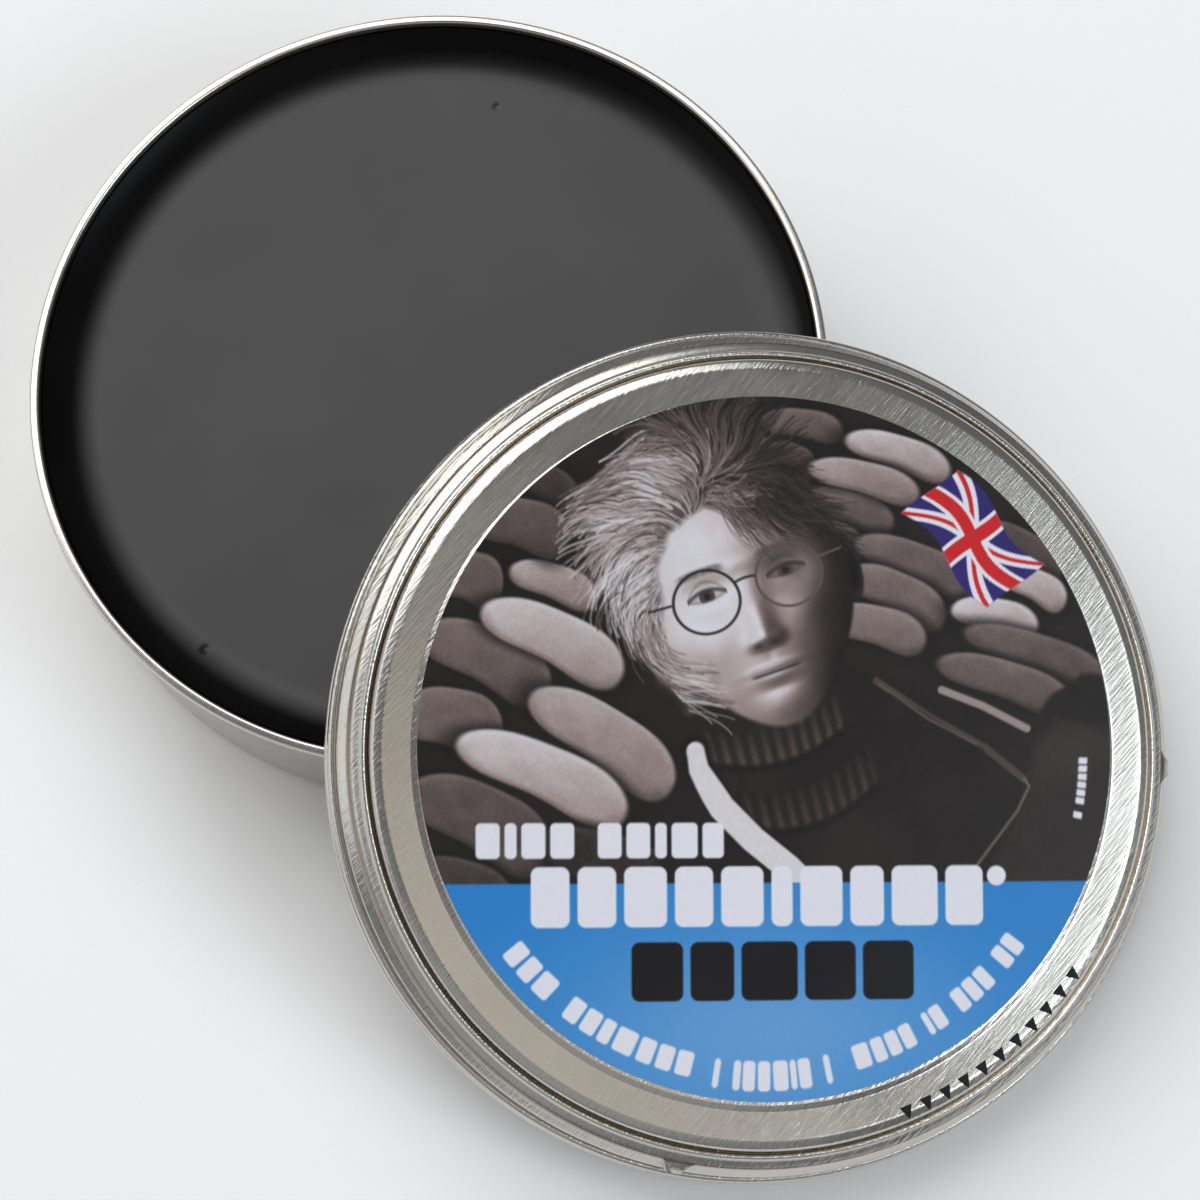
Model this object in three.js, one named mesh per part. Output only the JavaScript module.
// A press-open shoe polish tin with its lid off.
// The drawn tin stands open and full of wax, and its lid leans on it: the far
// edge of the lid's mouth is on the ground, and its rolled edge lies across the
// tin's rim at two points.  Millimetres, +Z up, the lid leaning towards -Y.
import * as THREE from 'three';

// Driving dimensions
const TURN_STEPS = 60; // facets round every turned piece
const SHEET = 0.3; // tinplate, both shells
const GAP = 0.1; // clearance round what lies inside or on a shell

const TIN = {
  height: 21.0,
  wallR: 41.8, // outside of the wall
  curlR: 0.65, // section of the rolled rim
  cornerR: 1.6, // outside bend from the wall to the foot
  footWidth: 2.2,
  panelLift: 0.9, // the bottom panel is sunk this far above the foot
  panelSlope: 1.3,
};

const WAX = {
  level: 18.9,
  edgeRise: 1.15, // the wax climbs this far up the wall
  edgeReach: 2.2, // and falls away over about this distance
  bottomCorner: 1.6,
};

const LID = {
  height: 9.9,
  panelR: 36.05, // raised middle that carries the label
  panelStep: 0.35,
  shoulderR: 39.4, // where the flat border starts to bend down
  shoulderBend: 1.25,
  beadR: 41.45, // fine bead at the foot of the shoulder
  skirtR: 43.15,
  channelDepth: 0.4, // the channel that grips under the tin's rim
  mouthR: 43.7,
  curlR: 0.5, // section of the rolled edge
};

const LABEL = { thickness: 0.15, radius: 35.5 };
const BASE_LABEL = { thickness: 0.15, radius: 33.0 };

const LEAN = {
  rimCrossing: 28.3, // from the lid's axis to the line where it crosses the rim
  rimGap: 0.3,
  floorGap: 0.05,
};

const FINISH = {
  tinplate: { color: 0xb4b0a8, roughness: 0.32, metalness: 1.0 },
  wax: { color: 0x101011, roughness: 0.45, metalness: 0.0 },
  print: { color: 0x3a8fd6, roughness: 0.4, metalness: 0.0 },
  paper: { color: 0xe9e7e1, roughness: 0.7, metalness: 0.0 },
};

const radians = THREE.MathUtils.degToRad;

// Points along an arc of a profile, x outwards and y up, angles from +x.
function arc(centreX, centreY, radius, startDegrees, endDegrees, steps) {
  const points = [];
  for (let step = 0; step <= steps; step++) {
    const angle = radians(THREE.MathUtils.lerp(startDegrees, endDegrees, step / steps));
    points.push([centreX + radius * Math.cos(angle), centreY + radius * Math.sin(angle)]);
  }
  return points;
}

// The same line moved sideways by a distance, to the right of its direction.
function beside(points, distance) {
  return points.map((point, index) => {
    const before = points[Math.max(index - 1, 0)];
    const after = points[Math.min(index + 1, points.length - 1)];
    const along = new THREE.Vector2(after[0] - before[0], after[1] - before[1]).normalize();
    return [point[0] + along.y * distance, point[1] - along.x * distance];
  });
}

// A turned solid from a profile listed with the material on its left.
function turned(name, finish, profile) {
  const points = profile.map(([x, y]) => new THREE.Vector2(Math.max(x, 0), y));
  const geometry = new THREE.LatheGeometry(points, TURN_STEPS);
  // A lathe turns about Y: stand it up along Z
  geometry.rotateX(Math.PI / 2);
  const mesh = new THREE.Mesh(geometry, new THREE.MeshStandardMaterial(FINISH[finish]));
  mesh.name = name;
  return mesh;
}

// Drawn tin: sunk bottom panel, foot ring, straight wall and rolled rim.
function baseShell() {
  const { height, wallR, curlR, cornerR, footWidth, panelLift, panelSlope } = TIN;
  const footOuter = wallR - cornerR;
  const footInner = footOuter - footWidth;
  const panelR = footInner - panelSlope;
  const curlX = wallR - SHEET + curlR;
  const curlY = height - curlR;
  return turned('base_shell', 'tinplate', [
    [0, panelLift],
    [panelR, panelLift],
    [footInner, 0],
    ...arc(footOuter, cornerR, cornerR, -90, 0, 4),
    [wallR, curlY - curlR * 0.8],
    ...arc(curlX, curlY, curlR, -60, 180, 10),
    ...arc(footOuter, cornerR, cornerR - SHEET, 0, -90, 4),
    [footInner, SHEET],
    [panelR, panelLift + SHEET],
    [0, panelLift + SHEET],
  ]);
}

// Poured wax: follows the tin's inside and climbs a little up the wall.
function polish() {
  const { level, edgeRise, edgeReach, bottomCorner } = WAX;
  const radius = TIN.wallR - SHEET - GAP;
  const floor = TIN.panelLift + SHEET + GAP;
  const surface = [0, 0.6, 1.4, 2.6, 4.4, 7.5].map((inwards) => [
    radius - inwards,
    level + edgeRise * Math.exp(-inwards / edgeReach),
  ]);
  return turned('polish', 'wax', [
    [0, floor],
    [radius - bottomCorner, floor],
    ...arc(radius - bottomCorner, floor + bottomCorner, bottomCorner, -60, 0, 3),
    ...surface,
    [0, level],
  ]);
}

// Pressed lid, mouth down: panel, border, shoulder, bead, gripping channel, rolled edge.
function lidShell() {
  const { height, panelR, panelStep, shoulderR, shoulderBend, beadR } = LID;
  const { skirtR, channelDepth, mouthR, curlR } = LID;
  const border = height - panelStep;
  const outside = [
    [mouthR, curlR * 2 + 0.5],
    [skirtR + 0.4, 2.4],
    [skirtR + 0.2, 3.1],
    [skirtR - channelDepth, 3.9],
    [skirtR - channelDepth, 5.4],
    [skirtR, 6.0],
    ...arc(skirtR - 1.0, 6.9, 1.0, 0, 90, 4),
    [beadR + 0.45, 8.1],
    [beadR, 8.6],
    [beadR - 0.5, 8.25],
    ...arc(shoulderR, border - shoulderBend, shoulderBend, 0, 90, 4),
    [panelR + panelStep, border],
    [panelR, height],
  ];
  const inside = beside(outside, -SHEET).reverse();
  return turned('lid_shell', 'tinplate', [
    [0, height - SHEET],
    ...inside,
    ...arc(mouthR + curlR * 0.6, curlR, curlR, 180, 430, 10),
    ...outside,
    [0, height],
  ]);
}

// A round paper sticker, its lower face at the height given.
function sticker(name, finish, { radius, thickness }, lowerFace) {
  return turned(name, finish, [
    [0, lowerFace],
    [radius, lowerFace],
    [radius, lowerFace + thickness],
    [0, lowerFace + thickness],
  ]);
}

// The lid leans with its rolled edge over the rim and its far edge on the ground.
function leaningLid() {
  const edgeR = LID.mouthR + LID.curlR * 0.6;
  const rimR = TIN.wallR - SHEET + TIN.curlR;
  const lowest = LID.curlR + LEAN.floorGap;
  const highest = TIN.height + LEAN.rimGap + LID.curlR;
  const lean = Math.asin((highest - lowest) / (edgeR + LEAN.rimCrossing));
  const halfChord = Math.sqrt(edgeR ** 2 - LEAN.rimCrossing ** 2);
  const chordFromTin = Math.sqrt(rimR ** 2 - halfChord ** 2);
  const reach = chordFromTin + LEAN.rimCrossing * Math.cos(lean);

  const lid = new THREE.Group();
  lid.add(lidShell(), sticker('lid_label', 'print', LABEL, LID.height + GAP));
  lid.position.set(
    0,
    -reach + LID.curlR * Math.sin(lean),
    lowest + edgeR * Math.sin(lean) - LID.curlR * Math.cos(lean),
  );
  lid.rotation.x = lean;
  return lid;
}

const group = new THREE.Group();
const underside = TIN.panelLift - GAP - BASE_LABEL.thickness;
group.add(
  baseShell(),
  polish(),
  sticker('base_label', 'paper', BASE_LABEL, underside),
  leaningLid(),
);

// The origin is the middle of the footprint of the tin and its lid
const middle = new THREE.Box3().setFromObject(group, true).getCenter(new THREE.Vector3());
group.position.set(-middle.x, -middle.y, 0);

export default group;
